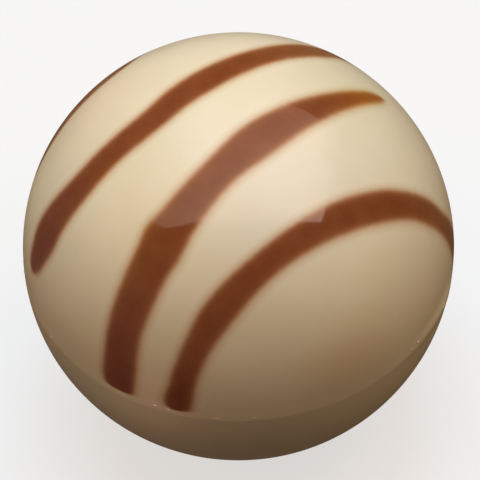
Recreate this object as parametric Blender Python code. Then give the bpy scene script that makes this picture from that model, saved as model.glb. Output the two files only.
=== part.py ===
# Irish cream chocolate truffle: a solid ball of white chocolate, moulded in two halves that
# meet at a fine seam, with four stripes of milk chocolate lying almost flush over its upper
# half and a small flat spot that it rests on.
# Metres, +Z up. The origin is the middle of the flat spot.

import math

import bmesh
import bpy

MM = 0.001

# Driving dimensions of the ball
BALL_RADIUS = 14.0 * MM
BALL_HALF_HEIGHT = 13.75 * MM
FLAT_SPOT_RADIUS = 3.6 * MM
HALF_SHIFT = 0.05 * MM

# Driving dimensions of the seam
SEAM_RIB_HEIGHT = 0.08 * MM
SEAM_RIB_CREST = 0.12 * MM
SEAM_RIB_FOOT = 0.36 * MM

# Driving dimensions of the stripes
STRIPE_DIRECTION = math.radians(35.0)
STRIPE_RELIEF = 0.08 * MM
STRIPE_EDGE_RELIEF = 0.04 * MM
STRIPE_DEPTH = 0.6 * MM
SEAM_END = 88.4

# Fineness of the mesh
RING_SIDES = 88
RINGS_ABOVE_SEAM = 22
RINGS_BELOW_SEAM = 17
STRIPE_STEP = 4.0
END_STEPS = 3
MERGE_DISTANCE = 0.000001

# Each stripe runs over the ball in the pouring direction. Its stations give the sweep angle
# from the top of the ball in degrees, then how far across the pouring direction its middle
# lies and how wide it is, both in millimetres. A rounded end closes over the given degrees,
# and a stripe with none ends squarely at the seam.
STRIPES = {
    "upper_stripe": {
        "stations": (
            (-77.5, 4.75, 1.9),
            (-72.0, 4.54, 2.1),
            (-64.0, 4.34, 2.55),
            (-56.0, 4.16, 2.4),
            (-44.0, 3.70, 2.0),
            (-32.0, 3.36, 1.85),
            (-18.0, 3.04, 1.9),
            (0.0, 3.14, 2.1),
            (20.0, 3.05, 1.9),
            (40.0, 2.90, 1.9),
            (SEAM_END, 2.70, 1.6),
        ),
        "first_end_round": 6.0,
        "last_end_round": 0.0,
    },
    "middle_stripe": {
        "stations": (
            (-SEAM_END, -4.78, 2.15),
            (-72.0, -4.58, 2.25),
            (-56.0, -4.22, 2.4),
            (-44.0, -3.90, 2.5),
            (-38.0, -3.70, 2.78),
            (-31.0, -3.56, 2.42),
            (-14.0, -3.12, 2.15),
            (-1.0, -2.87, 2.45),
            (14.0, -2.68, 2.0),
            (28.0, -2.50, 1.45),
            (47.0, -2.14, 1.0),
        ),
        "first_end_round": 0.0,
        "last_end_round": 6.0,
    },
    "lower_stripe": {
        "stations": (
            (-SEAM_END, -8.38, 1.42),
            (-84.0, -8.38, 1.46),
            (-77.0, -8.48, 1.3),
            (-60.0, -8.52, 1.36),
            (-45.0, -8.56, 1.62),
            (-22.0, -8.74, 1.42),
            (10.0, -9.04, 1.58),
            (28.0, -9.20, 1.5),
            (42.0, -9.32, 1.32),
            (65.0, -9.50, 1.18),
            (74.0, -9.48, 1.46),
            (SEAM_END, -9.45, 1.4),
        ),
        "first_end_round": 0.0,
        "last_end_round": 0.0,
    },
    "back_stripe": {
        "stations": (
            (-66.0, 10.60, 1.5),
            (-58.0, 10.72, 1.6),
            (-36.0, 10.92, 1.8),
            (-8.0, 10.92, 1.8),
            (6.0, 11.25, 1.6),
            (24.0, 11.62, 1.5),
            (50.0, 11.80, 1.4),
            (SEAM_END, 11.80, 1.3),
        ),
        "first_end_round": 9.0,
        "last_end_round": 0.0,
    },
}

# Where each rail of a stripe lies across its half width, and how far it stands proud
STRIPE_RAILS = (
    (-1.0, STRIPE_EDGE_RELIEF),
    (-0.6, STRIPE_RELIEF),
    (0.0, STRIPE_RELIEF),
    (0.6, STRIPE_RELIEF),
    (1.0, STRIPE_EDGE_RELIEF),
)

flat_spot_latitude = -math.acos(FLAT_SPOT_RADIUS / BALL_RADIUS)
ball_centre_height = -BALL_HALF_HEIGHT * math.sin(flat_spot_latitude)


def clear_scene():
    for item in list(bpy.data.objects):
        bpy.data.objects.remove(item, do_unlink=True)


def chocolate(name, colour, roughness):
    material = bpy.data.materials.new(name)
    material.use_nodes = True
    shader = material.node_tree.nodes["Principled BSDF"]
    shader.inputs["Base Color"].default_value = (*colour, 1.0)
    shader.inputs["Roughness"].default_value = roughness
    shader.inputs["Metallic"].default_value = 0.0
    return material


def finish_mesh(bm, name, materials):
    bmesh.ops.recalc_face_normals(bm, faces=bm.faces)
    mesh = bpy.data.meshes.new(name)
    bm.to_mesh(mesh)
    bm.free()
    for material in materials:
        mesh.materials.append(material)
    return bpy.data.objects.new(name, mesh)


def ball_profile_point(latitude):
    radius = BALL_RADIUS * math.cos(latitude)
    height = BALL_HALF_HEIGHT * math.sin(latitude)
    return radius, height


def half_profile(pole_latitude, rings, side):
    """Outline of one moulded half, from its pole or flat spot to the crest of its seam rib."""
    foot_latitude = side * SEAM_RIB_FOOT / 2.0 / BALL_HALF_HEIGHT
    profile = []
    for ring in range(rings + 1):
        share = ring / rings
        latitude = pole_latitude + (foot_latitude - pole_latitude) * share
        profile.append(ball_profile_point(latitude))
    profile.append((BALL_RADIUS + SEAM_RIB_HEIGHT, side * SEAM_RIB_CREST / 2.0))
    return profile


def turn_half(bm, profile, shift):
    """Turns an outline round the upright axis and moves the half by its mould shift."""
    verts = []
    for radius, height in profile:
        verts.append(bm.verts.new((radius, 0.0, height + ball_centre_height)))
    edges = []
    for first, second in zip(verts, verts[1:]):
        edges.append(bm.edges.new((first, second)))
    before = set(bm.verts) - set(verts)
    bmesh.ops.spin(
        bm,
        geom=verts + edges,
        cent=(0.0, 0.0, 0.0),
        axis=(0.0, 0.0, 1.0),
        angle=math.tau,
        steps=RING_SIDES,
        use_merge=True,
    )
    turned = [vert for vert in bm.verts if vert not in before]
    bmesh.ops.translate(bm, verts=turned, vec=(shift, 0.0, 0.0))


def close_seam_and_foot(bm):
    """Joins the two crests of the seam rib and fills the flat spot."""
    foot_limit = ball_centre_height / 2.0
    open_edges = [edge for edge in bm.edges if edge.is_boundary]
    foot = [edge for edge in open_edges if edge.verts[0].co.z < foot_limit]
    crest = [edge for edge in open_edges if edge.verts[0].co.z > foot_limit]
    bmesh.ops.bridge_loops(bm, edges=crest)
    bmesh.ops.contextual_create(bm, geom=foot)


def make_ball(materials):
    bm = bmesh.new()
    upper = half_profile(math.pi / 2.0, RINGS_ABOVE_SEAM, 1.0)
    lower = half_profile(flat_spot_latitude, RINGS_BELOW_SEAM, -1.0)
    turn_half(bm, upper, -HALF_SHIFT)
    turn_half(bm, lower, HALF_SHIFT)
    bmesh.ops.remove_doubles(bm, verts=bm.verts, dist=MERGE_DISTANCE)
    close_seam_and_foot(bm)
    return finish_mesh(bm, "truffle", materials)


def slope_at(stations, index, column):
    before = stations[max(index - 1, 0)]
    after = stations[min(index + 1, len(stations) - 1)]
    return (after[column] - before[column]) / (after[0] - before[0])


def value_between_stations(stations, sweep, column):
    """Smooth value of one column of the stations at a sweep angle."""
    index = 0
    while index < len(stations) - 2 and sweep > stations[index + 1][0]:
        index += 1
    start = stations[index]
    stop = stations[index + 1]
    gap = stop[0] - start[0]
    share = (sweep - start[0]) / gap
    start_slope = slope_at(stations, index, column) * gap
    stop_slope = slope_at(stations, index + 1, column) * gap
    squared = share * share
    cubed = squared * share
    value = start[column] * (2.0 * cubed - 3.0 * squared + 1.0)
    value += start_slope * (cubed - 2.0 * squared + share)
    value += stop[column] * (3.0 * squared - 2.0 * cubed)
    value += stop_slope * (cubed - squared)
    return value


def round_share(distance, length):
    """Share of the full width at a distance from a rounded end."""
    if length == 0.0 or distance >= length:
        return 1.0
    missing = 1.0 - distance / length
    return math.sqrt(1.0 - missing * missing)


def stripe_sweeps(first, last, first_round, last_round):
    """Sweep angles of the rings of a stripe, closer together at its rounded ends."""
    start = first
    stop = last
    sweeps = []
    if first_round:
        for step in range(END_STEPS):
            share = (step + 0.4) / END_STEPS
            sweeps.append(first + first_round * share * share)
        start = first + first_round
    closing = []
    if last_round:
        for step in range(END_STEPS):
            share = (step + 0.4) / END_STEPS
            closing.append(last - last_round * share * share)
        stop = last - last_round
    steps = math.ceil((stop - start) / STRIPE_STEP)
    for step in range(steps + 1):
        sweeps.append(start + (stop - start) * step / steps)
    return sweeps + closing[::-1]


def point_on_ball(sweep, across, lift):
    """Point at a sweep angle and a distance across the pouring direction, lifted outwards."""
    turning_radius = math.sqrt(BALL_RADIUS * BALL_RADIUS - across * across)
    along = turning_radius * math.sin(sweep)
    height = turning_radius * math.cos(sweep) * BALL_HALF_HEIGHT / BALL_RADIUS
    growth = (BALL_RADIUS + lift) / BALL_RADIUS
    x = along * math.cos(STRIPE_DIRECTION) - across * math.sin(STRIPE_DIRECTION)
    y = along * math.sin(STRIPE_DIRECTION) + across * math.cos(STRIPE_DIRECTION)
    return x * growth - HALF_SHIFT, y * growth, height * growth + ball_centre_height


def stripe_ring(bm, sweep, middle, half_width):
    """Closed cross-section of a stripe: its outer rails, then the same rails inside the ball."""
    angle = math.radians(sweep)
    outer = []
    inner = []
    for place, lift in STRIPE_RAILS:
        across = middle + place * half_width
        outer.append(bm.verts.new(point_on_ball(angle, across, lift)))
        inner.append(bm.verts.new(point_on_ball(angle, across, -STRIPE_DEPTH)))
    return outer + inner[::-1]


def make_stripe(name, plan, materials):
    stations = plan["stations"]
    first = stations[0][0]
    last = stations[-1][0]
    first_round = plan["first_end_round"]
    last_round = plan["last_end_round"]
    bm = bmesh.new()
    rings = []
    for sweep in stripe_sweeps(first, last, first_round, last_round):
        middle = value_between_stations(stations, sweep, 1) * MM
        half_width = value_between_stations(stations, sweep, 2) * MM / 2.0
        half_width *= round_share(sweep - first, first_round)
        half_width *= round_share(last - sweep, last_round)
        rings.append(stripe_ring(bm, sweep, middle, half_width))
    corners = len(rings[0])
    for ring, following in zip(rings, rings[1:]):
        for corner in range(corners):
            beside = (corner + 1) % corners
            bm.faces.new((ring[corner], ring[beside], following[beside], following[corner]))
    bm.faces.new(rings[0])
    bm.faces.new(rings[-1])
    stripe = finish_mesh(bm, name, materials)
    for face in stripe.data.polygons:
        face.material_index = 1
    return stripe


def fuse(ball, stripes):
    """Joins the stripes to the ball in one union, then removes them."""
    join = ball.modifiers.new("fused_stripes", "BOOLEAN")
    join.operation = "UNION"
    join.operand_type = "COLLECTION"
    join.collection = stripes
    join.solver = "EXACT"
    bpy.context.view_layer.objects.active = ball
    bpy.ops.object.modifier_apply(modifier=join.name)
    for stripe in list(stripes.objects):
        bpy.data.objects.remove(stripe, do_unlink=True)
    bpy.data.collections.remove(stripes)


def make_truffle():
    white_chocolate = chocolate("white_chocolate", (0.78, 0.66, 0.46), 0.22)
    milk_chocolate = chocolate("milk_chocolate", (0.22, 0.05, 0.02), 0.22)
    materials = (white_chocolate, milk_chocolate)
    ball = make_ball(materials)
    bpy.context.scene.collection.objects.link(ball)
    stripes = bpy.data.collections.new("stripes")
    bpy.context.scene.collection.children.link(stripes)
    for name, plan in STRIPES.items():
        stripes.objects.link(make_stripe(name, plan, materials))
    fuse(ball, stripes)
    ball.data.shade_smooth()
    ball.data.set_sharp_from_angle(angle=math.radians(35.0))


clear_scene()
make_truffle()
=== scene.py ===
# Irish cream chocolate truffle: the looks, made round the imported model.
# A ball of white chocolate moulded in two halves, with stripes of milk chocolate over its
# upper half, seen from above on a pale floor. Metres, +Z up.

import math

import bpy
from mathutils import Matrix, Vector


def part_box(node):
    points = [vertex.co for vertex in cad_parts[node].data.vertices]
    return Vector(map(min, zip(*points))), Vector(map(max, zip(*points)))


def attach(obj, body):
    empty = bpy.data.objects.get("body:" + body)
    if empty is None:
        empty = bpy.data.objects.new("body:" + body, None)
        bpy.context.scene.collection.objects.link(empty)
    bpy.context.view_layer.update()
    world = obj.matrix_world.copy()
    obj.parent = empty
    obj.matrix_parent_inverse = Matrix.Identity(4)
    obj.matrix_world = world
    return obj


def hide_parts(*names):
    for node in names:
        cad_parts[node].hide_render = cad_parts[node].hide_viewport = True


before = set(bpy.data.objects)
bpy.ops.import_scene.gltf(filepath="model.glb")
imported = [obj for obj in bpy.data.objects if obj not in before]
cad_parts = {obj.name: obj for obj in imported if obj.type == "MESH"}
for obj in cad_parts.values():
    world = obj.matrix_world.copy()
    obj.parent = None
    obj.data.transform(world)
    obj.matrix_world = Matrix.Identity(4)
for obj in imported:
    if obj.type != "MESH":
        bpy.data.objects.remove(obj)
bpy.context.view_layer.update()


# The white chocolate ball
# A ball of cream-coloured white chocolate, cast glossy in a mould of two halves. The halves
# meet a little out of line at a fine uneven rib, and the ball stands on a small flat spot.
# A net of rings and spokes is wrapped into the ball, closest together beside the seam.

MM = 0.001
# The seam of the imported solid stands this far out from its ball
SOLID_SEAM_REACH = 0.13 * MM
BALL_FLATNESS = 13.75 / 14.0

ball_low, ball_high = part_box("truffle")
ball_radius = (ball_high.x - ball_low.x) / 2.0 - SOLID_SEAM_REACH
ball_half_height = ball_radius * BALL_FLATNESS
ball_centre = ball_high.z - ball_half_height

CAST_SIZES = {
    "Ball Radius": ball_radius,
    "Half Height": ball_half_height,
    "Centre Height": ball_centre,
    "Unevenness": 0.03 * MM,
    "Unevenness Pitch": 9.0 * MM,
    "Seam Sink": 0.12 * MM,
    "Seam Slant": 0.25 * MM,
    "Seam Wander": 0.4 * MM,
    "Ridge Height": 0.035 * MM,
    "Ridge Growth": 0.13 * MM,
    "Ridge Half Width": 0.62 * MM,
    "Rib Height": 0.011 * MM,
    "Rib Half Width": 0.08 * MM,
    "Mould Shift": 0.006 * MM,
    "Step Half Width": 0.4 * MM,
}
NET_SIZES = {
    "Middle Ring Spacing": 0.22,
}
BALL_SPOKES = 400
BALL_RINGS = 236
MERGE_DISTANCE = 0.001 * MM

# The seam is told round a circle of radius one, seen from above. The ridge beside it grows
# between two places to the right, dwindles again between two to the back, and ends between two
# at either side. The rib is broken off where its noise is weak and whole where it is strong.
CAST_SEED = 3.0
SEAM_WANDER_PITCH = 0.25
RIDGE_GROWS_RIGHTWARDS = (0.68, 0.96)
RIDGE_DWINDLES_BACKWARDS = (-0.38, -0.1)
RIDGE_ENDS_SIDEWAYS = (0.93, 1.0)
RIB_LUMP_PITCH = 0.07
RIB_WEAK_TO_STRONG = (0.4, 0.68)

CREAM_PALE = (0.815, 0.755, 0.585)
CREAM_DEEP = (0.785, 0.715, 0.535)
# Where the cream is painted a little paler, deeper or bluer to stand in for light and shade: a
# bluer painted sheen where the softbox's highlight lies, painted bounce light low at the front left,
# a painted light on the left rim, and painted light and shade elsewhere. Each patch gives the way
# to it from the ball's centre, how far it reaches in millimetres, and by how much it changes the
# red, green and blue light there
CREAM_PAINTED_LIGHT_AND_SHADE = (
    ((0.20, -0.43, 0.86), 8.0, (1.00, 1.02, 1.11)),
    ((0.60, 0.35, 0.70), 8.0, (0.91, 0.92, 0.87)),
    ((0.47, -0.86, 0.19), 5.0, (0.94, 0.89, 0.80)),
    ((0.53, -0.66, 0.52), 8.0, (1.06, 1.07, 1.03)),
    ((-0.65, 0.34, 0.67), 8.0, (1.09, 1.03, 1.01)),
    ((-0.44, -0.90, 0.00), 6.0, (1.22, 1.20, 1.30)),
    ((-0.80, -0.58, -0.18), 6.0, (0.86, 0.94, 1.06)),
    ((-0.94, 0.14, 0.31), 5.5, (1.12, 1.13, 1.06)),
)
CREAM_PATCH_PITCH = 5.0 * MM
CREAM_GRAIN_PITCH = 0.9 * MM
CREAM_GRAIN_SHARE = 0.12
CREAM_DEEP_BELOW = 0.28
CREAM_PALE_ABOVE = 0.72
CREAM_ROUGHNESS = 0.25
HAZE_PITCH = 2.2 * MM
HAZE_LIMITS = (0.2, 0.8)
HAZE_ROUGHNESS = 0.02
RIPPLE_PITCH = 1.1 * MM
RIPPLE_HEIGHT = 0.01 * MM
RIPPLE_STRENGTH = 0.25
CHOCOLATE_IOR = 1.5
CHOCOLATE_GLOSS_LEVEL = 0.58


def add_node(tree, kind, **settings):
    node = tree.nodes.new(kind)
    for name, value in settings.items():
        setattr(node, name, value)
    return node


def feed(tree, socket, value):
    """Links a socket to another node's output, or sets its own value."""
    if isinstance(value, bpy.types.NodeSocket):
        tree.links.new(value, socket)
    else:
        socket.default_value = value


def work_out(tree, operation, *values):
    node = add_node(tree, "ShaderNodeMath", operation=operation)
    for socket, value in zip(node.inputs, values):
        feed(tree, socket, value)
    return node.outputs[0]


def work_out_vector(tree, operation, *values):
    node = add_node(tree, "ShaderNodeVectorMath", operation=operation)
    for socket, value in zip(node.inputs, values):
        feed(tree, socket, value)
    return node.outputs[0]


def vector_of(tree, x, y, z):
    node = add_node(tree, "ShaderNodeCombineXYZ")
    feed(tree, node.inputs[0], x)
    feed(tree, node.inputs[1], y)
    feed(tree, node.inputs[2], z)
    return node.outputs[0]


def eased(tree, value, start, stop, start_value, stop_value):
    """Value that eases from one level to another between two limits."""
    node = add_node(tree, "ShaderNodeMapRange", interpolation_type="SMOOTHSTEP")
    for socket, given in zip(node.inputs, (value, start, stop, start_value, stop_value)):
        feed(tree, socket, given)
    return node.outputs[0]


def noise(tree, place, pitch, detail, seed):
    """Noise from 0 to 1 whose patches are about one pitch wide."""
    node = add_node(tree, "ShaderNodeTexNoise", noise_dimensions="4D")
    feed(tree, node.inputs["Vector"], place)
    node.inputs["W"].default_value = seed
    node.inputs["Detail"].default_value = detail
    if isinstance(pitch, bpy.types.NodeSocket):
        feed(tree, node.inputs["Scale"], work_out(tree, "DIVIDE", 1.0, pitch))
    else:
        node.inputs["Scale"].default_value = 1.0 / pitch
    return node.outputs[0]


def start_tree(name, sizes, geometry_in):
    """New geometry tree with a named input for each size, and its input node."""
    tree = bpy.data.node_groups.new(name, "GeometryNodeTree")
    if geometry_in:
        tree.interface.new_socket("Geometry", in_out="INPUT", socket_type="NodeSocketGeometry")
    for size in sizes:
        tree.interface.new_socket(size, in_out="INPUT", socket_type="NodeSocketFloat")
    tree.interface.new_socket("Material", in_out="INPUT", socket_type="NodeSocketMaterial")
    tree.interface.new_socket("Geometry", in_out="OUTPUT", socket_type="NodeSocketGeometry")
    return tree, add_node(tree, "NodeGroupInput")


def end_tree(tree, given, shape, sharp_edges=False):
    """Smooth shading, real geometry and the material, as the last steps of a tree."""
    smooth = add_node(tree, "GeometryNodeSetShadeSmooth")
    sharp = add_node(tree, "GeometryNodeSetShadeSmooth", domain="EDGE")
    real = add_node(tree, "GeometryNodeRealizeInstances")
    dressed = add_node(tree, "GeometryNodeSetMaterial")
    end = add_node(tree, "NodeGroupOutput")
    feed(tree, smooth.inputs["Geometry"], shape)
    feed(tree, sharp.inputs["Geometry"], smooth.outputs[0])
    feed(tree, sharp.inputs["Selection"], sharp_edges)
    sharp.inputs["Shade Smooth"].default_value = False
    feed(tree, real.inputs["Geometry"], sharp.outputs[0])
    feed(tree, dressed.inputs["Geometry"], real.outputs[0])
    feed(tree, dressed.inputs["Material"], given.outputs["Material"])
    feed(tree, end.inputs["Geometry"], dressed.outputs[0])


def keep_value(tree, shape, name, value):
    """Stores a value on the points of a shape, under a name that materials can read."""
    node = add_node(tree, "GeometryNodeStoreNamedAttribute", data_type="FLOAT", domain="POINT")
    feed(tree, node.inputs["Geometry"], shape)
    node.inputs["Name"].default_value = name
    feed(tree, node.inputs["Value"], value)
    return node.outputs[0]


def kept_value(tree, name):
    node = add_node(tree, "GeometryNodeInputNamedAttribute", data_type="FLOAT")
    node.inputs["Name"].default_value = name
    return node.outputs[0]


def make_piece(name, guide, tree, sizes, material):
    """Runs a tree on a guide mesh and keeps its result as a plain mesh."""
    piece = bpy.data.objects.new(name, guide)
    bpy.context.scene.collection.objects.link(piece)
    maker = piece.modifiers.new(tree.name, "NODES")
    maker.node_group = tree
    for socket in tree.interface.items_tree:
        if socket.in_out == "INPUT" and socket.name in sizes:
            maker[socket.identifier] = sizes[socket.name]
        if socket.in_out == "INPUT" and socket.name == "Material":
            maker[socket.identifier] = material
    evaluated = piece.evaluated_get(bpy.context.evaluated_depsgraph_get())
    made = bpy.data.meshes.new_from_object(evaluated)
    piece.modifiers.clear()
    piece.data = made
    made.name = name
    return piece


def soft_hump(tree, away, half_width):
    """Bell curve of height one over a distance from its middle line."""
    share = work_out(tree, "DIVIDE", away, half_width)
    fall = work_out(tree, "MULTIPLY", work_out(tree, "MULTIPLY", share, share), -1.0)
    return work_out(tree, "EXPONENT", fall)


def seam_line(tree, size, spoke, rightness):
    """Height of the seam's line, which lies a little slantwise and wanders round the ball."""
    wander = noise(tree, spoke, SEAM_WANDER_PITCH, detail=3.0, seed=CAST_SEED + 1.0)
    wander = work_out(tree, "SUBTRACT", wander, 0.5)
    line = work_out(tree, "MULTIPLY", wander, size["Seam Wander"])
    line = work_out(tree, "SUBTRACT", line, size["Seam Sink"])
    return work_out(tree, "SUBTRACT", line, work_out(tree, "MULTIPLY", rightness, size["Seam Slant"]))


def seam_forms(tree, size, place):
    """Heights of the seam's ridge and its rib at a point of the ball, and the halves' shift."""
    spoke = work_out_vector(tree, "MULTIPLY", place, (1.0, 1.0, 0.0))
    spoke = work_out_vector(tree, "NORMALIZE", spoke)
    spoke_parts = add_node(tree, "ShaderNodeSeparateXYZ")
    feed(tree, spoke_parts.inputs[0], spoke)
    rightness = spoke_parts.outputs[0]
    backness = spoke_parts.outputs[1]
    place_parts = add_node(tree, "ShaderNodeSeparateXYZ")
    feed(tree, place_parts.inputs[0], place)
    line = seam_line(tree, size, spoke, rightness)
    away = work_out(tree, "SUBTRACT", place_parts.outputs[2], line)

    # A soft low ridge, highest at the front right and gone at either side
    growth = work_out(tree, "MULTIPLY", eased(tree, rightness, *RIDGE_GROWS_RIGHTWARDS, 0.0, 1.0),
                      eased(tree, backness, *RIDGE_DWINDLES_BACKWARDS, 1.0, 0.0))
    growth = work_out(tree, "MULTIPLY", growth, size["Ridge Growth"])
    ridge_height = work_out(tree, "ADD", size["Ridge Height"], growth)
    sideness = work_out(tree, "ABSOLUTE", rightness)
    kept = eased(tree, sideness, *RIDGE_ENDS_SIDEWAYS, 1.0, 0.0)
    ridge_height = work_out(tree, "MULTIPLY", ridge_height, kept)
    ridge = work_out(tree, "MULTIPLY", soft_hump(tree, away, size["Ridge Half Width"]), ridge_height)

    # A fine broken rib, and a slight step between the halves
    lumps = noise(tree, spoke, RIB_LUMP_PITCH, detail=4.0, seed=CAST_SEED + 2.0)
    rib = work_out(tree, "MULTIPLY", soft_hump(tree, away, size["Rib Half Width"]), size["Rib Height"])
    rib = work_out(tree, "MULTIPLY", rib, eased(tree, lumps, *RIB_WEAK_TO_STRONG, 0.0, 1.0))
    step = work_out(tree, "TANH", work_out(tree, "DIVIDE", away, size["Step Half Width"]))
    shift = work_out(tree, "MULTIPLY", step, size["Mould Shift"])
    return ridge, rib, shift


def cast_place(tree, size, place, lift):
    """Point of the cast for a point on the true ball, given from its centre, and its lift."""
    outward = work_out_vector(tree, "NORMALIZE", place)
    patches = noise(tree, place, size["Unevenness Pitch"], detail=1.0, seed=CAST_SEED)
    swell = work_out(tree, "MULTIPLY", work_out(tree, "SUBTRACT", patches, 1.0), size["Unevenness"])
    ridge, rib, shift = seam_forms(tree, size, place)
    for part in (ridge, rib, lift):
        swell = work_out(tree, "ADD", swell, part)
    raised = add_node(tree, "ShaderNodeVectorMath", operation="SCALE")
    feed(tree, raised.inputs[0], outward)
    feed(tree, raised.inputs["Scale"], swell)
    raised = work_out_vector(tree, "ADD", place, raised.outputs[0])
    return work_out_vector(tree, "ADD", raised, vector_of(tree, shift, 0.0, size["Centre Height"]))


def moulded_ball_tree():
    tree, given = start_tree("moulded_ball", {**CAST_SIZES, **NET_SIZES}, geometry_in=False)
    size = given.outputs

    # A flat net as wide as one full turn, which runs from -1 at its bottom to 1 at its top
    net = add_node(tree, "GeometryNodeMeshGrid")
    net.inputs["Size X"].default_value = math.tau
    net.inputs["Size Y"].default_value = 2.0
    net.inputs["Vertices X"].default_value = BALL_SPOKES + 1
    net.inputs["Vertices Y"].default_value = BALL_RINGS + 1
    place = add_node(tree, "GeometryNodeInputPosition")
    parts = add_node(tree, "ShaderNodeSeparateXYZ")
    feed(tree, parts.inputs[0], place.outputs[0])
    turn = parts.outputs[0]
    up = parts.outputs[1]

    # The rings crowd together towards the seam
    spacing = size["Middle Ring Spacing"]
    rest = work_out(tree, "SUBTRACT", 1.0, spacing)
    share = work_out(tree, "MULTIPLY_ADD", work_out(tree, "ABSOLUTE", up), rest, spacing)
    latitude = work_out(tree, "MULTIPLY", work_out(tree, "MULTIPLY", up, share), math.pi / 2.0)

    # The true ball, cast and stood on the floor, with everything below the floor pressed flat
    width = work_out(tree, "MULTIPLY", work_out(tree, "COSINE", latitude), size["Ball Radius"])
    height = work_out(tree, "MULTIPLY", work_out(tree, "SINE", latitude), size["Half Height"])
    x = work_out(tree, "MULTIPLY", width, work_out(tree, "COSINE", turn))
    y = work_out(tree, "MULTIPLY", width, work_out(tree, "SINE", turn))
    stood = cast_place(tree, size, vector_of(tree, x, y, height), 0.0)
    lowest = (-2.0 * ball_radius, -2.0 * ball_radius, 0.0)
    pressed = work_out_vector(tree, "MAXIMUM", stood, lowest)
    wrapped = add_node(tree, "GeometryNodeSetPosition")
    feed(tree, wrapped.inputs["Geometry"], net.outputs["Mesh"])
    feed(tree, wrapped.inputs["Position"], pressed)
    closed = add_node(tree, "GeometryNodeMergeByDistance")
    feed(tree, closed.inputs["Geometry"], wrapped.outputs[0])
    closed.inputs["Distance"].default_value = MERGE_DISTANCE
    end_tree(tree, given, closed.outputs[0])
    return tree


def with_tints_and_painted_light(tree, place, colour, patches):
    """Colour that turns to each patch's tint towards its middle, for the cream's painted light and
    shade and the milk's amber.
    """
    for way, reach, tint in patches:
        centre = Vector(way).normalized() * ball_radius + Vector((0.0, 0.0, ball_centre))
        apart = add_node(tree, "ShaderNodeVectorMath", operation="DISTANCE")
        feed(tree, apart.inputs[0], place)
        apart.inputs[1].default_value = centre
        share = eased(tree, apart.outputs["Value"], 0.0, reach * MM, 1.0, 0.0)
        change = Vector(tint) - Vector((1.0, 1.0, 1.0))
        shade = add_node(tree, "ShaderNodeVectorMath", operation="MULTIPLY_ADD")
        shade.inputs[0].default_value = change
        feed(tree, shade.inputs[1], vector_of(tree, share, share, share))
        shade.inputs[2].default_value = (1.0, 1.0, 1.0)
        colour = work_out_vector(tree, "MULTIPLY", colour, shade.outputs[0])
    return colour


def cream_colour(tree, place):
    """Colour of the white chocolate: broad pale and deep patches with a faint grain, and painted light
    and shade in places.
    """
    patches = noise(tree, place, CREAM_PATCH_PITCH, detail=2.0, seed=1.0)
    grain = noise(tree, place, CREAM_GRAIN_PITCH, detail=1.0, seed=2.0)
    broad = work_out(tree, "MULTIPLY", patches, 1.0 - CREAM_GRAIN_SHARE)
    mixed = work_out(tree, "MULTIPLY_ADD", grain, CREAM_GRAIN_SHARE, broad)
    ramp = add_node(tree, "ShaderNodeValToRGB")
    ramp.color_ramp.interpolation = "EASE"
    ramp.color_ramp.elements[0].position = CREAM_DEEP_BELOW
    ramp.color_ramp.elements[0].color = (*CREAM_DEEP, 1.0)
    ramp.color_ramp.elements[1].position = CREAM_PALE_ABOVE
    ramp.color_ramp.elements[1].color = (*CREAM_PALE, 1.0)
    feed(tree, ramp.inputs[0], mixed)
    # The patches of painted light and shade go over the cream's own colour
    return with_tints_and_painted_light(tree, place, ramp.outputs[0], CREAM_PAINTED_LIGHT_AND_SHADE)


def gloss_and_grain(tree, place, shader, roughness):
    """Roughness that varies a little, and the faint ripple of a cast surface."""
    haze = noise(tree, place, HAZE_PITCH, detail=2.0, seed=4.0)
    change = eased(tree, haze, *HAZE_LIMITS, -HAZE_ROUGHNESS, HAZE_ROUGHNESS)
    feed(tree, shader.inputs["Roughness"], work_out(tree, "ADD", change, roughness))
    ripple = noise(tree, place, RIPPLE_PITCH, detail=1.0, seed=5.0)
    bump = add_node(tree, "ShaderNodeBump")
    bump.inputs["Strength"].default_value = RIPPLE_STRENGTH
    bump.inputs["Distance"].default_value = RIPPLE_HEIGHT
    feed(tree, bump.inputs["Height"], ripple)
    feed(tree, shader.inputs["Normal"], bump.outputs[0])


def start_material(name):
    material = bpy.data.materials.new(name)
    material.use_nodes = True
    tree = material.node_tree
    shader = tree.nodes["Principled BSDF"]
    shader.inputs["IOR"].default_value = CHOCOLATE_IOR
    shader.inputs["Specular IOR Level"].default_value = CHOCOLATE_GLOSS_LEVEL
    coordinates = add_node(tree, "ShaderNodeTexCoord")
    return material, tree, shader, coordinates.outputs["Object"]


def white_chocolate_material():
    material, tree, shader, place = start_material("white_chocolate")
    feed(tree, shader.inputs["Base Color"], cream_colour(tree, place))
    gloss_and_grain(tree, place, shader, CREAM_ROUGHNESS)
    return material


white_ball = make_piece(
    "white_chocolate_ball",
    bpy.data.meshes.new("white_chocolate_ball"),
    moulded_ball_tree(),
    {**CAST_SIZES, **NET_SIZES},
    white_chocolate_material(),
)
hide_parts("truffle")
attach(white_ball, "root")


# The milk chocolate stripes
# Four stripes of milk chocolate, poured slantwise into the upper half of the mould before the
# white chocolate, so that they lie almost flush in its surface. Each is thin at its edges,
# where the white shows through and turns it amber, and stops squarely at the seam or in a tip.

POURING_DIRECTION = math.radians(35.0)
SEAM_END = 88.0

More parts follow.
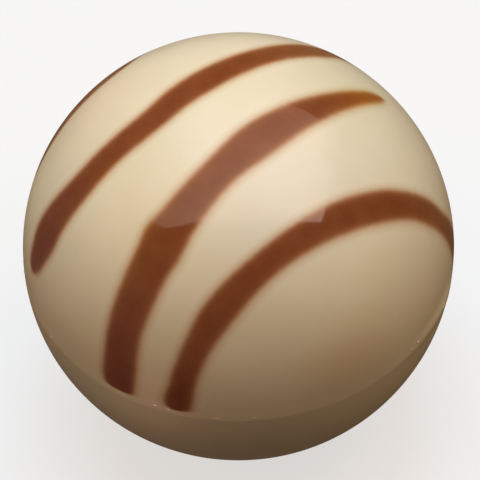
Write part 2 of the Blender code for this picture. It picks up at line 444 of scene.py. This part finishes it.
# Stations: sweep angle from the top of the ball in degrees, then the middle of the stripe
# across the pouring direction and its width, both in millimetres, and how thickly it is poured
# there, one being usual. A tip is the length in millimetres over which an end narrows, and
# nought where the stripe stops at the seam.
SWEEP = 0
MIDDLE = 1
WIDTH = 2
FULLNESS = 3
STRIPES = {
    "upper_stripe": {
        "stations": (
            (-77.3, 4.80, 1.65, 0.93),
            (-72.0, 4.55, 1.9, 0.95),
            (-64.0, 4.35, 2.62, 0.98),
            (-56.0, 4.18, 2.44, 1.01),
            (-44.0, 3.67, 2.04, 1.08),
            (-32.0, 3.38, 1.86, 1.07),
            (-18.0, 3.01, 1.92, 1.05),
            (-8.0, 3.13, 2.08, 1.04),
            (0.0, 3.14, 2.14, 1.07),
            (20.0, 3.06, 1.92, 1.03),
            (40.0, 2.95, 1.92, 0.86),
            (48.0, 2.96, 1.5, 0.70),
            (SEAM_END, 2.70, 1.3, 0.70),
        ),
        "first_tip": 1.5,
        "last_tip": 0.0,
    },
    "middle_stripe": {
        "stations": (
            (-SEAM_END, -4.82, 1.98, 0.99),
            (-84.0, -4.76, 2.2, 0.99),
            (-76.0, -4.69, 2.28, 0.96),
            (-64.0, -4.38, 2.3, 0.93),
            (-56.0, -4.24, 2.42, 0.96),
            (-44.0, -3.92, 2.54, 1.07),
            (-38.0, -3.73, 2.82, 1.04),
            (-31.0, -3.57, 2.42, 1.00),
            (-14.0, -3.12, 2.12, 1.00),
            (-1.0, -2.88, 2.48, 1.00),
            (14.0, -2.67, 2.06, 1.00),
            (28.0, -2.50, 1.48, 0.98),
            (41.0, -2.28, 1.08, 0.84),
            (48.4, -2.16, 0.94, 0.72),
        ),
        "first_tip": 0.0,
        "last_tip": 1.7,
    },
    "lower_stripe": {
        "stations": (
            (-SEAM_END, -8.42, 1.24, 1.00),
            (-84.0, -8.39, 1.43, 1.00),
            (-80.0, -8.45, 1.40, 0.99),
            (-76.0, -8.48, 1.3, 0.97),
            (-60.0, -8.52, 1.36, 0.86),
            (-45.0, -8.56, 1.62, 0.96),
            (-22.0, -8.74, 1.42, 1.00),
            (10.0, -9.04, 1.58, 1.03),
            (28.0, -9.20, 1.5, 1.06),
            (42.0, -9.32, 1.32, 1.00),
            (54.0, -9.43, 1.28, 0.92),
            (64.0, -9.50, 1.12, 0.87),
            (74.0, -9.42, 1.28, 0.84),
            (SEAM_END, -9.35, 1.25, 0.98),
        ),
        "first_tip": 0.0,
        "last_tip": 0.0,
    },
    "back_stripe": {
        "stations": (
            (-66.0, 10.60, 1.5, 0.75),
            (-58.0, 10.70, 1.7, 0.72),
            (-36.0, 10.92, 1.8, 0.75),
            (-8.0, 10.92, 1.8, 0.70),
            (6.0, 11.42, 1.6, 0.60),
            (24.0, 11.74, 1.5, 0.85),
            (50.0, 11.80, 1.4, 1.00),
            (SEAM_END, 11.80, 1.3, 1.00),
        ),
        "first_tip": 1.4,
        "last_tip": 0.0,
    },
}
STRIPE_STEP = 0.12 * MM
# The feather is the clear rim outside a stripe's edge line. It is short where a stripe stops at
# the seam, and round at a tip, where its last ring keeps a little of the reach.
FEATHER = 0.8 * MM
SEAM_FEATHER = 0.14 * MM
LEAST_REACH_SQUARED = 0.001
CORNER_ROUND = 0.45 * MM
STRIPE_SIZES = {
    **CAST_SIZES,
    "Pouring Direction": POURING_DIRECTION,
    "Feather": FEATHER,
    "Relief": 0.012 * MM,
    "Border Lift": 0.002 * MM,
    "Depth": 0.25 * MM,
}
SECTION_POINTS = 48
SECTION_TOLERANCE = 0.001

# The chocolate is half its full thickness a little inside the edge line, which is ragged. It
# thickens over the edge's width, with a broader smear, and thins away to nothing in its feather.
# The faint tint out in the feather is partly a thin haze of chocolate and partly painted shade,
# where the dark stripe takes the light that would glow through the cream beside it.
HALF_THICKNESS_INSIDE = 0.065 * MM
EDGE_WIDTH = 0.22 * MM
RAGGED_PITCH = 0.5 * MM
RAGGED_REACH = 0.1 * MM
SMEAR_WIDTH = 0.75 * MM
SMEAR_SHARE = 0.2
FEATHER_VANISHES = (0.35 * FEATHER, 0.97 * FEATHER)
CLOUD_PITCH = 1.6 * MM
CLOUD_LIMITS = (0.3, 0.7)
CLOUD_THICKNESS = (0.95, 1.05)
# What is left of the red, green and blue light that passes through the full thickness
THINNED_LIGHT = (0.26, 0.078, 0.035)
# Where the milk chocolate is more amber, told in the same way as for the cream
MILK_PATCHES = (
    ((0.62, 0.22, 0.75), 5.0, (1.24, 1.03, 0.36)),
)
MILK_ROUGHNESS = 0.07
GLOSS_COMES_WITH_THICKNESS = (0.1, 0.7)


def slope_at(stations, index, column):
    before = stations[max(index - 1, 0)]
    after = stations[min(index + 1, len(stations) - 1)]
    return (after[column] - before[column]) / (after[SWEEP] - before[SWEEP])


def between_stations(stations, sweep, column):
    """Smooth value of one column of the stations at a sweep angle."""
    sweep = min(max(sweep, stations[0][SWEEP]), stations[-1][SWEEP])
    index = 0
    while index < len(stations) - 2 and sweep > stations[index + 1][SWEEP]:
        index += 1
    start = stations[index]
    stop = stations[index + 1]
    gap = stop[SWEEP] - start[SWEEP]
    share = (sweep - start[SWEEP]) / gap
    squared = share * share
    cubed = squared * share
    value = start[column] * (2.0 * cubed - 3.0 * squared + 1.0)
    value += slope_at(stations, index, column) * gap * (cubed - 2.0 * squared + share)
    value += stop[column] * (3.0 * squared - 2.0 * cubed)
    value += slope_at(stations, index + 1, column) * gap * (cubed - squared)
    return value


def narrowed(half_width, inside, tip):
    """Half width at a distance inside an end, which is a round tip or has rounded corners."""
    rounding = tip if tip else CORNER_ROUND
    if inside >= rounding:
        return half_width
    missing = 1.0 - max(inside, 0.0) / rounding
    share = math.sqrt(1.0 - missing * missing)
    if tip:
        return half_width * share
    return half_width - CORNER_ROUND * (1.0 - share)


def stripe_guide(name, plan):
    """Guide line of a stripe, with its place, width, thickness and distance past its ends."""
    stations = plan["stations"]
    middle = between_stations(stations, 0.0, MIDDLE) * MM
    turning_radius = math.sqrt(ball_radius * ball_radius - middle * middle)
    first_tip = plan["first_tip"] * MM
    last_tip = plan["last_tip"] * MM
    first_feather = FEATHER if first_tip else SEAM_FEATHER
    last_feather = FEATHER if last_tip else SEAM_FEATHER
    first_sweep = math.radians(stations[0][SWEEP])
    last_sweep = math.radians(stations[-1][SWEEP])
    start = first_sweep - first_feather / turning_radius
    stop = last_sweep + last_feather / turning_radius
    steps = math.ceil((stop - start) * turning_radius / STRIPE_STEP)
    rings = []
    for step in range(steps + 1):
        sweep = start + (stop - start) * step / steps
        angle = math.degrees(sweep)
        first_inside = (sweep - first_sweep) * turning_radius
        last_inside = (last_sweep - sweep) * turning_radius
        half_width = between_stations(stations, angle, WIDTH) * MM / 2.0
        half_width = narrowed(half_width, first_inside, first_tip)
        half_width = narrowed(half_width, last_inside, last_tip)
        first_past = -first_inside * FEATHER / first_feather
        last_past = -last_inside * FEATHER / last_feather
        past = max(first_past, last_past)
        beyond = min(max(past, 0.0) / FEATHER, 1.0)
        rings.append({
            "sweep": sweep,
            "middle": between_stations(stations, angle, MIDDLE) * MM,
            "half_width": half_width,
            "fullness": between_stations(stations, angle, FULLNESS),
            "past_end": past,
            "reach": FEATHER * math.sqrt(max(1.0 - beyond * beyond, LEAST_REACH_SQUARED)),
            "last_ring": 1.0 if step in (0, steps) else 0.0,
        })
    guide = bpy.data.meshes.new(name)
    points = [(ring["sweep"] * turning_radius, 0.0, 0.0) for ring in rings]
    lines = [(index, index + 1) for index in range(steps)]
    guide.from_pydata(points, lines, [])
    for column in rings[0]:
        layer = guide.attributes.new(column, "FLOAT", "POINT")
        layer.data.foreach_set("value", [ring[column] for ring in rings])
    return guide


def stripe_section(tree):
    """Cross-section of a stripe: a circle, whose points know their place across and up."""
    ring = add_node(tree, "GeometryNodeCurvePrimitiveCircle")
    ring.inputs["Resolution"].default_value = SECTION_POINTS
    ring.inputs["Radius"].default_value = 1.0
    place = add_node(tree, "GeometryNodeInputPosition")
    parts = add_node(tree, "ShaderNodeSeparateXYZ")
    feed(tree, parts.inputs[0], place.outputs[0])
    section = keep_value(tree, ring.outputs["Curve"], "section_across", parts.outputs[0])
    return keep_value(tree, section, "section_up", parts.outputs[1])


def outside_edge_line(tree, offset, lean):
    """Distance over the surface outside a stripe's edge line, less than nought inside it."""
    half_width = kept_value(tree, "half_width")
    beside = work_out(tree, "SUBTRACT", work_out(tree, "ABSOLUTE", offset), half_width)
    beside = work_out(tree, "DIVIDE", beside, lean)
    past = kept_value(tree, "past_end")
    outside = vector_of(tree, work_out(tree, "MAXIMUM", beside, 0.0),
                        work_out(tree, "MAXIMUM", past, 0.0), 0.0)
    length = add_node(tree, "ShaderNodeVectorMath", operation="LENGTH")
    feed(tree, length.inputs[0], outside)
    inside = work_out(tree, "MINIMUM", work_out(tree, "MAXIMUM", beside, past), 0.0)
    return work_out(tree, "ADD", length.outputs["Value"], inside)


def stripe_lift(tree, size, edge):
    """Lift off the ball: the top rises from just above it, and the underside lies within it."""
    inner = work_out(tree, "MULTIPLY", size["Feather"], -1.0)
    risen = eased(tree, edge, size["Feather"], inner, size["Border Lift"], size["Relief"])
    section_up = kept_value(tree, "section_up")
    sunk = work_out(tree, "MULTIPLY_ADD", section_up, size["Depth"], size["Border Lift"])
    lift = add_node(tree, "ShaderNodeMix", data_type="FLOAT")
    feed(tree, lift.inputs["Factor"], work_out(tree, "LESS_THAN", section_up, -SECTION_TOLERANCE))
    feed(tree, lift.inputs["A"], risen)
    feed(tree, lift.inputs["B"], sunk)
    return lift.outputs[0]


def poured_place(tree, size, across, radius_squared):
    """Point of the true ball at a distance across the pouring direction and the line's sweep."""
    across_squared = work_out(tree, "MULTIPLY", across, across)
    turning = work_out(tree, "SQRT", work_out(tree, "SUBTRACT", radius_squared, across_squared))
    sweep = kept_value(tree, "sweep")
    along = work_out(tree, "MULTIPLY", turning, work_out(tree, "SINE", sweep))
    flatness = work_out(tree, "DIVIDE", size["Half Height"], size["Ball Radius"])
    height = work_out(tree, "MULTIPLY", turning, work_out(tree, "COSINE", sweep))
    height = work_out(tree, "MULTIPLY", height, flatness)
    cos_way = work_out(tree, "COSINE", size["Pouring Direction"])
    sin_way = work_out(tree, "SINE", size["Pouring Direction"])
    x = work_out(tree, "SUBTRACT", work_out(tree, "MULTIPLY", along, cos_way),
                 work_out(tree, "MULTIPLY", across, sin_way))
    y = work_out(tree, "ADD", work_out(tree, "MULTIPLY", along, sin_way),
                 work_out(tree, "MULTIPLY", across, cos_way))
    return vector_of(tree, x, y, height)


def poured_stripe_tree():
    tree, given = start_tree("poured_stripe", STRIPE_SIZES, geometry_in=True)
    size = given.outputs
    line = add_node(tree, "GeometryNodeMeshToCurve")
    feed(tree, line.inputs["Mesh"], size["Geometry"])
    drawn = add_node(tree, "GeometryNodeCurveToMesh")
    feed(tree, drawn.inputs["Curve"], line.outputs[0])
    feed(tree, drawn.inputs["Profile Curve"], stripe_section(tree))
    drawn.inputs["Fill Caps"].default_value = True

    # The section spans the stripe and its feather, foreshortened where the ball slopes away
    middle = kept_value(tree, "middle")
    radius_squared = work_out(tree, "MULTIPLY", size["Ball Radius"], size["Ball Radius"])
    middle_squared = work_out(tree, "MULTIPLY", middle, middle)
    lean = work_out(tree, "SUBTRACT", 1.0, work_out(tree, "DIVIDE", middle_squared, radius_squared))
    lean = work_out(tree, "SQRT", lean)
    reach = work_out(tree, "MULTIPLY", kept_value(tree, "reach"), lean)
    extent = work_out(tree, "ADD", kept_value(tree, "half_width"), reach)
    offset = work_out(tree, "MULTIPLY", kept_value(tree, "section_across"), extent)
    edge = outside_edge_line(tree, offset, lean)

    # Laid over the ball along the pouring direction
    across = work_out(tree, "ADD", middle, offset)
    place = poured_place(tree, size, across, radius_squared)
    laid = cast_place(tree, size, place, stripe_lift(tree, size, edge))
    marked = keep_value(tree, drawn.outputs[0], "edge_distance", edge)
    wrapped = add_node(tree, "GeometryNodeSetPosition")
    feed(tree, wrapped.inputs["Geometry"], marked)
    feed(tree, wrapped.inputs["Position"], laid)
    rim = work_out(tree, "MAXIMUM", work_out(tree, "ABSOLUTE", kept_value(tree, "section_across")),
                   kept_value(tree, "last_ring"))
    on_rim = work_out(tree, "GREATER_THAN", rim, 1.0 - SECTION_TOLERANCE)
    end_tree(tree, given, wrapped.outputs[0], sharp_edges=on_rim)
    return tree


def milk_thickness(tree, place):
    """Thickness of the milk chocolate at a point of a stripe, one being usual."""
    edge = add_node(tree, "ShaderNodeAttribute", attribute_name="edge_distance")
    ragged = noise(tree, place, RAGGED_PITCH, detail=4.0, seed=6.0)
    ragged = work_out(tree, "SUBTRACT", ragged, 0.5)
    edge_line = work_out(tree, "MULTIPLY_ADD", ragged, RAGGED_REACH, edge.outputs["Fac"])
    inwards = work_out(tree, "SUBTRACT", -HALF_THICKNESS_INSIDE, edge_line)
    body = work_out(tree, "TANH", work_out(tree, "DIVIDE", inwards, EDGE_WIDTH))
    smear = work_out(tree, "TANH", work_out(tree, "DIVIDE", inwards, SMEAR_WIDTH))
    body = work_out(tree, "MULTIPLY_ADD", body, (1.0 - SMEAR_SHARE) / 2.0, 0.5)
    thickness = work_out(tree, "MULTIPLY_ADD", smear, SMEAR_SHARE / 2.0, body)
    # The tint in the feather is partly thin chocolate and partly painted shade beside the stripe
    vanishing = eased(tree, edge.outputs["Fac"], *FEATHER_VANISHES, 1.0, 0.0)
    thickness = work_out(tree, "MULTIPLY", thickness, vanishing)
    cloud = noise(tree, place, CLOUD_PITCH, detail=4.0, seed=7.0)
    cloud = eased(tree, cloud, *CLOUD_LIMITS, *CLOUD_THICKNESS)
    thickness = work_out(tree, "MULTIPLY", thickness, cloud)
    fullness = add_node(tree, "ShaderNodeAttribute", attribute_name="fullness")
    return work_out(tree, "MULTIPLY", thickness, fullness.outputs["Fac"])


def milk_chocolate_material():
    """White chocolate seen through milk chocolate, which is glossier where it is thicker."""
    material, tree, shader, place = start_material("milk_chocolate")
    thickness = milk_thickness(tree, place)
    light_left = add_node(tree, "ShaderNodeVectorMath", operation="POWER")
    feed(tree, light_left.inputs[0], with_tints_and_painted_light(tree, place, THINNED_LIGHT, MILK_PATCHES))
    feed(tree, light_left.inputs[1], vector_of(tree, thickness, thickness, thickness))
    # The cream under the milk chocolate carries its painted light and shade as well
    tinted = work_out_vector(tree, "MULTIPLY", cream_colour(tree, place), light_left.outputs[0])
    feed(tree, shader.inputs["Base Color"], tinted)
    roughness = eased(tree, thickness, *GLOSS_COMES_WITH_THICKNESS, CREAM_ROUGHNESS, MILK_ROUGHNESS)
    gloss_and_grain(tree, place, shader, roughness)
    return material


milk_chocolate = milk_chocolate_material()
poured_stripe = poured_stripe_tree()
for stripe_name, stripe_plan in STRIPES.items():
    stripe = make_piece(
        stripe_name,
        stripe_guide(stripe_name, stripe_plan),
        poured_stripe,
        STRIPE_SIZES,
        milk_chocolate,
    )
    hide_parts("truffle")
    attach(stripe, "root")


# The seam flecks
# Crumbs and short streaks of white chocolate that squeezed out between the mould halves and
# set on the seam. They are about as thin as a hair, and catch the light as pale points, helped by a
# painted glint: their colour is painted paler than the cream's.

# Each fleck seen in front: its turn round the ball in degrees, its height above the seam, its
# length along the seam and its thickness, all in millimetres
SEEN_FLECKS = (
    (-16.5, -0.25, 0.18, 0.10),
    (-24.0, -0.10, 0.16, 0.06),
    (-37.8, 0.07, 0.14, 0.12),
    (-40.5, 0.05, 0.10, 0.09),
    (-45.4, 0.10, 0.25, 0.03),
    (-88.0, 0.20, 0.40, 0.02),
    (-98.0, 0.15, 0.60, 0.02),
    (-110.5, 0.24, 0.12, 0.05),
    (-114.3, 0.32, 0.20, 0.055),
    (-144.0, 0.15, 0.20, 0.03),
    (-151.0, 0.20, 0.20, 0.03),
)
FLECK_SIZES = {
    **CAST_SIZES,
    "Hidden Fleck Count": 16.0,
    "First Hidden Turn": math.radians(10.0),
    "Last Hidden Turn": math.radians(185.0),
    "Fleck Height Spread": 0.1 * MM,
    "Shortest Fleck": 0.08 * MM,
    "Longest Fleck": 0.3 * MM,
    "Fleck Thickness": 0.07 * MM,
    "Fleck Stand": 0.005 * MM,
}
FLECK_SEED = 5
THINNEST_FLECK_SHARE = 0.7
CRUMB_SUBDIVISIONS = 2
# The crumbs' colour is the cream's painted paler, as a painted glint
CRUMB_PAINTED_GLINT = 1.12
CRUMB_ROUGHNESS = 0.3


def seen_fleck_guide():
    guide = bpy.data.meshes.new("seam_flecks")
    guide.from_pydata([(0.0, 0.0, 0.0)] * len(SEEN_FLECKS), [], [])
    columns = zip(*SEEN_FLECKS)
    units = (math.radians(1.0), MM, MM, MM)
    for name, unit, values in zip(("turn", "height", "length", "thickness"), units, columns):
        layer = guide.attributes.new(name, "FLOAT", "POINT")
        layer.data.foreach_set("value", [value * unit for value in values])
    return guide


def seam_flecks_tree():
    tree, given = start_tree("seam_flecks", FLECK_SIZES, geometry_in=True)
    size = given.outputs
    hidden = add_node(tree, "GeometryNodeMeshLine")
    feed(tree, hidden.inputs["Count"], size["Hidden Fleck Count"])
    shape = hidden.outputs[0]
    spread = size["Fleck Height Spread"]
    thickest = size["Fleck Thickness"]
    ranges = (
        ("turn", size["First Hidden Turn"], size["Last Hidden Turn"]),
        ("height", work_out(tree, "MULTIPLY", spread, -1.0), spread),
        ("length", size["Shortest Fleck"], size["Longest Fleck"]),
        ("thickness", work_out(tree, "MULTIPLY", thickest, THINNEST_FLECK_SHARE), thickest),
    )
    for index, (name, least, most) in enumerate(ranges):
        # A random value's first two sockets are for vectors, and the next two for plain numbers
        chance = add_node(tree, "FunctionNodeRandomValue", data_type="FLOAT")
        feed(tree, chance.inputs[2], least)
        feed(tree, chance.inputs[3], most)
        chance.inputs["Seed"].default_value = FLECK_SEED + index
        shape = keep_value(tree, shape, name, chance.outputs[1])
    spots = add_node(tree, "GeometryNodeJoinGeometry")
    feed(tree, spots.inputs[0], shape)
    feed(tree, spots.inputs[0], size["Geometry"])

    # Each crumb is a ball one wide, drawn to its size along the seam and half sunk in it
    turn = kept_value(tree, "turn")
    length = kept_value(tree, "length")
    thickness = kept_value(tree, "thickness")
    x = work_out(tree, "MULTIPLY", size["Ball Radius"], work_out(tree, "COSINE", turn))
    y = work_out(tree, "MULTIPLY", size["Ball Radius"], work_out(tree, "SINE", turn))
    seat = vector_of(tree, x, y, kept_value(tree, "height"))
    placed = add_node(tree, "GeometryNodeSetPosition")
    feed(tree, placed.inputs["Geometry"], spots.outputs[0])
    feed(tree, placed.inputs["Position"], cast_place(tree, size, seat, size["Fleck Stand"]))
    crumb = add_node(tree, "GeometryNodeMeshIcoSphere")
    crumb.inputs["Radius"].default_value = 0.5
    crumb.inputs["Subdivisions"].default_value = CRUMB_SUBDIVISIONS
    crumbs = add_node(tree, "GeometryNodeInstanceOnPoints")
    feed(tree, crumbs.inputs["Points"], placed.outputs[0])
    feed(tree, crumbs.inputs["Instance"], crumb.outputs["Mesh"])
    facing = add_node(tree, "FunctionNodeEulerToRotation")
    feed(tree, facing.inputs[0], vector_of(tree, 0.0, 0.0, turn))
    feed(tree, crumbs.inputs["Rotation"], facing.outputs[0])
    feed(tree, crumbs.inputs["Scale"], vector_of(tree, thickness, length, thickness))
    end_tree(tree, given, crumbs.outputs[0])
    return tree


def crumb_material():
    material, tree, shader, place = start_material("white_chocolate_crumb")
    # The cream's colour scaled paler, as a painted glint on the crumbs
    pale = add_node(tree, "ShaderNodeVectorMath", operation="SCALE")
    feed(tree, pale.inputs[0], cream_colour(tree, place))
    pale.inputs["Scale"].default_value = CRUMB_PAINTED_GLINT
    feed(tree, shader.inputs["Base Color"], pale.outputs[0])
    gloss_and_grain(tree, place, shader, CRUMB_ROUGHNESS)
    return material


seam_flecks = make_piece(
    "seam_flecks",
    seen_fleck_guide(),
    seam_flecks_tree(),
    FLECK_SIZES,
    crumb_material(),
)
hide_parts("truffle")
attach(seam_flecks, "root")


# The floor
# A plain pale studio table, lit softly from within like a lightbox, so that the truffle
# throws only a faint shadow. It is seen but lights nothing, and so the underside of the ball
# stays as dim as on a dark table.

FLOOR_SIZE = 1.6
FLOOR_COLOUR = (0.25, 0.27, 0.30)
FLOOR_GLOW = (0.66, 0.65, 0.64)
FLOOR_ROUGHNESS = 0.9
FLOOR_GLOSS_LEVEL = 0.1

floor_mesh = bpy.data.meshes.new("floor")
half = FLOOR_SIZE / 2.0
floor_mesh.from_pydata(
    [(-half, -half, 0.0), (half, -half, 0.0), (half, half, 0.0), (-half, half, 0.0)],
    [],
    [(0, 1, 2, 3)],
)
floor = bpy.data.objects.new("floor", floor_mesh)
bpy.context.scene.collection.objects.link(floor)
floor_material = bpy.data.materials.new("floor_paper")
floor_material.use_nodes = True
floor_shader = floor_material.node_tree.nodes["Principled BSDF"]
floor_shader.inputs["Base Color"].default_value = (*FLOOR_COLOUR, 1.0)
floor_shader.inputs["Roughness"].default_value = FLOOR_ROUGHNESS
floor_shader.inputs["Specular IOR Level"].default_value = FLOOR_GLOSS_LEVEL
floor_shader.inputs["Emission Color"].default_value = (*FLOOR_GLOW, 1.0)
floor_shader.inputs["Emission Strength"].default_value = 1.0
floor_mesh.materials.append(floor_material)
floor.visible_diffuse = False
floor.visible_glossy = False
floor.visible_shadow = False


# The light
# One wide softbox hangs level above the ball, a little behind it, and its face fades towards
# the far left. A cooler lamp helps it from high at the back, and the dim and mostly warm room
# fills in from the sides and the back.

SOFTBOX_HEIGHT = 0.38
SOFTBOX_WIDTH = 0.78
SOFTBOX_DEPTH = 0.59
SOFTBOX_BACK = 0.130
SOFTBOX_RADIANCE = (1.64, 1.24, 0.98)
# The box is brightest at its front right corner, and fades to nothing near the far left one
SOFTBOX_FADING_WAY = (0.63, -0.777)
SOFTBOX_FADED_AT = -0.23
SOFTBOX_FULL_AT = 0.42
SOFTBOX_FULL_BRIGHTNESS = 2.0
# Its front left corner is rounded, and its back right corner is cut off straight
SOFTBOX_CORNER = 0.112
SOFTBOX_CUT_WAY = (0.224, 0.975)
SOFTBOX_CUT_AT = 0.353

softbox_light = bpy.data.lights.new("softbox", "AREA")
softbox_light.shape = "RECTANGLE"
softbox_light.size = SOFTBOX_WIDTH
softbox_light.size_y = SOFTBOX_DEPTH
softbox_light.energy = math.pi * SOFTBOX_WIDTH * SOFTBOX_DEPTH
softbox_light.color = SOFTBOX_RADIANCE
softbox = bpy.data.objects.new("softbox", softbox_light)
softbox.location = (0.0, SOFTBOX_BACK, ball_centre + SOFTBOX_HEIGHT)
softbox.visible_camera = False
bpy.context.scene.collection.objects.link(softbox)
softbox_light.use_nodes = True
softbox_face = softbox_light.node_tree
face_place = add_node(softbox_face, "ShaderNodeNewGeometry").outputs["Parametric"]
face_place = work_out_vector(softbox_face, "SUBTRACT", face_place, (0.5, 0.5, 0.0))
face_place = work_out_vector(softbox_face, "MULTIPLY", face_place, (SOFTBOX_WIDTH, SOFTBOX_DEPTH, 0.0))
towards_bright = add_node(softbox_face, "ShaderNodeVectorMath", operation="DOT_PRODUCT")
feed(softbox_face, towards_bright.inputs[0], face_place)
towards_bright.inputs[1].default_value = (*SOFTBOX_FADING_WAY, 0.0)
brightness = add_node(softbox_face, "ShaderNodeMapRange")
feed(softbox_face, brightness.inputs["Value"], towards_bright.outputs["Value"])
brightness.inputs["From Min"].default_value = SOFTBOX_FADED_AT
brightness.inputs["From Max"].default_value = SOFTBOX_FULL_AT
brightness.inputs["To Max"].default_value = SOFTBOX_FULL_BRIGHTNESS
corner_start = (SOFTBOX_CORNER - SOFTBOX_WIDTH / 2.0, SOFTBOX_CORNER - SOFTBOX_DEPTH / 2.0, 0.0)
past_corner = work_out_vector(softbox_face, "SUBTRACT", corner_start, face_place)
past_corner = work_out_vector(softbox_face, "MAXIMUM", past_corner, (0.0, 0.0, 0.0))
corner_reach = add_node(softbox_face, "ShaderNodeVectorMath", operation="LENGTH")
feed(softbox_face, corner_reach.inputs[0], past_corner)
within_corner = work_out(softbox_face, "LESS_THAN", corner_reach.outputs["Value"], SOFTBOX_CORNER)
towards_cut = add_node(softbox_face, "ShaderNodeVectorMath", operation="DOT_PRODUCT")
feed(softbox_face, towards_cut.inputs[0], face_place)
towards_cut.inputs[1].default_value = (*SOFTBOX_CUT_WAY, 0.0)
within_cut = work_out(softbox_face, "LESS_THAN", towards_cut.outputs["Value"], SOFTBOX_CUT_AT)
face_light = work_out(softbox_face, "MULTIPLY", brightness.outputs["Result"], within_corner)
face_light = work_out(softbox_face, "MULTIPLY", face_light, within_cut)
feed(softbox_face, softbox_face.nodes["Emission"].inputs["Strength"], face_light)

LAMP_ELEVATION = math.radians(65.0)
LAMP_TURN = math.radians(-10.0)
LAMP_SPREAD = math.radians(45.0)
LAMP_COLOUR = (0.91, 1.51, 1.81)

lamp_light = bpy.data.lights.new("cool_lamp", "SUN")
lamp_light.energy = 1.0
lamp_light.color = LAMP_COLOUR
lamp_light.angle = LAMP_SPREAD
lamp = bpy.data.objects.new("cool_lamp", lamp_light)
lamp_way = Vector((
    math.sin(LAMP_TURN) * math.cos(LAMP_ELEVATION),
    math.cos(LAMP_TURN) * math.cos(LAMP_ELEVATION),
    math.sin(LAMP_ELEVATION),
))
lamp.rotation_mode = "QUATERNION"
lamp.rotation_quaternion = lamp_way.to_track_quat("Z", "Y")
lamp.visible_camera = False
lamp.visible_glossy = False
bpy.context.scene.collection.objects.link(lamp)

ROOM_LIGHT = (0.090, 0.057, 0.039)
ROOM_SEEN = (0.90, 0.90, 0.90)
# Each glow: the way to it, how tightly it is gathered, and its light
ROOM_GLOWS = (
    ((-1.0, 0.0, 0.58), 10.0, (1.02, 0.49, 0.0)),
    ((-1.0, 0.0, 0.0), 4.0, (0.0, 0.06, 0.12)),
    ((1.0, 0.0, 0.0), 4.0, (0.13, 0.08, 0.0)),
    ((0.0, 1.0, 0.15), 5.0, (0.24, 0.09, 0.0)),
)

world = bpy.data.worlds.new("room")
world.use_nodes = True
bpy.context.scene.world = world
room = world.node_tree
room.nodes.clear()
looking = add_node(room, "ShaderNodeTexCoord").outputs["Generated"]
room_light = ROOM_LIGHT
for glow_way, glow_tightness, glow_light in ROOM_GLOWS:
    towards = add_node(room, "ShaderNodeVectorMath", operation="DOT_PRODUCT")
    feed(room, towards.inputs[0], looking)
    towards.inputs[1].default_value = Vector(glow_way).normalized()
    fading = work_out(room, "SUBTRACT", towards.outputs["Value"], 1.0)
    fading = work_out(room, "MULTIPLY", fading, glow_tightness)
    glow = add_node(room, "ShaderNodeVectorMath", operation="SCALE")
    glow.inputs[0].default_value = glow_light
    feed(room, glow.inputs["Scale"], work_out(room, "EXPONENT", fading))
    room_light = work_out_vector(room, "ADD", room_light, glow.outputs[0])
dim = add_node(room, "ShaderNodeBackground")
feed(room, dim.inputs["Color"], room_light)
seen = add_node(room, "ShaderNodeBackground")
seen.inputs["Color"].default_value = (*ROOM_SEEN, 1.0)
rays = add_node(room, "ShaderNodeLightPath")
choice = add_node(room, "ShaderNodeMixShader")
out = add_node(room, "ShaderNodeOutputWorld")
feed(room, choice.inputs[0], rays.outputs["Is Camera Ray"])
feed(room, choice.inputs[1], dim.outputs[0])
feed(room, choice.inputs[2], seen.outputs[0])
feed(room, out.inputs["Surface"], choice.outputs[0])


# The camera
# A camera with a long lens looks down on the ball at the photograph's angle, tipped a little to
# one side. Its frame is told in pixels of a square picture.

CAMERA_DISTANCE = 0.26
CAMERA_ELEVATION = math.radians(51.143)
CAMERA_ROLL = math.radians(-2.876)
PICTURE_SIZE = 480.0
FOCAL_PIXELS = 4003.2
CENTRE_PIXEL = (238.419, 246.138)
SENSOR_WIDTH = 36.0
NEAREST_SEEN = 0.01

camera_data = bpy.data.cameras.new("camera")
camera_data.sensor_width = SENSOR_WIDTH
camera_data.lens = SENSOR_WIDTH * FOCAL_PIXELS / PICTURE_SIZE
camera_data.shift_x = 0.5 - CENTRE_PIXEL[0] / PICTURE_SIZE
camera_data.shift_y = CENTRE_PIXEL[1] / PICTURE_SIZE - 0.5
camera_data.clip_start = NEAREST_SEEN
camera = bpy.data.objects.new("camera", camera_data)
bpy.context.scene.collection.objects.link(camera)
backwards = Vector((0.0, -math.cos(CAMERA_ELEVATION), math.sin(CAMERA_ELEVATION)))
level = Vector((1.0, 0.0, 0.0))
upright = backwards.cross(level)
rolled_right = level * math.cos(CAMERA_ROLL) + upright * math.sin(CAMERA_ROLL)
rolled_up = upright * math.cos(CAMERA_ROLL) - level * math.sin(CAMERA_ROLL)
turn = Matrix((rolled_right, rolled_up, backwards)).transposed()
target = Vector((0.0, 0.0, ball_centre))
camera.matrix_world = Matrix.Translation(target + backwards * CAMERA_DISTANCE) @ turn.to_4x4()
bpy.context.scene.camera = camera
bpy.context.scene.view_settings.view_transform = "Standard"
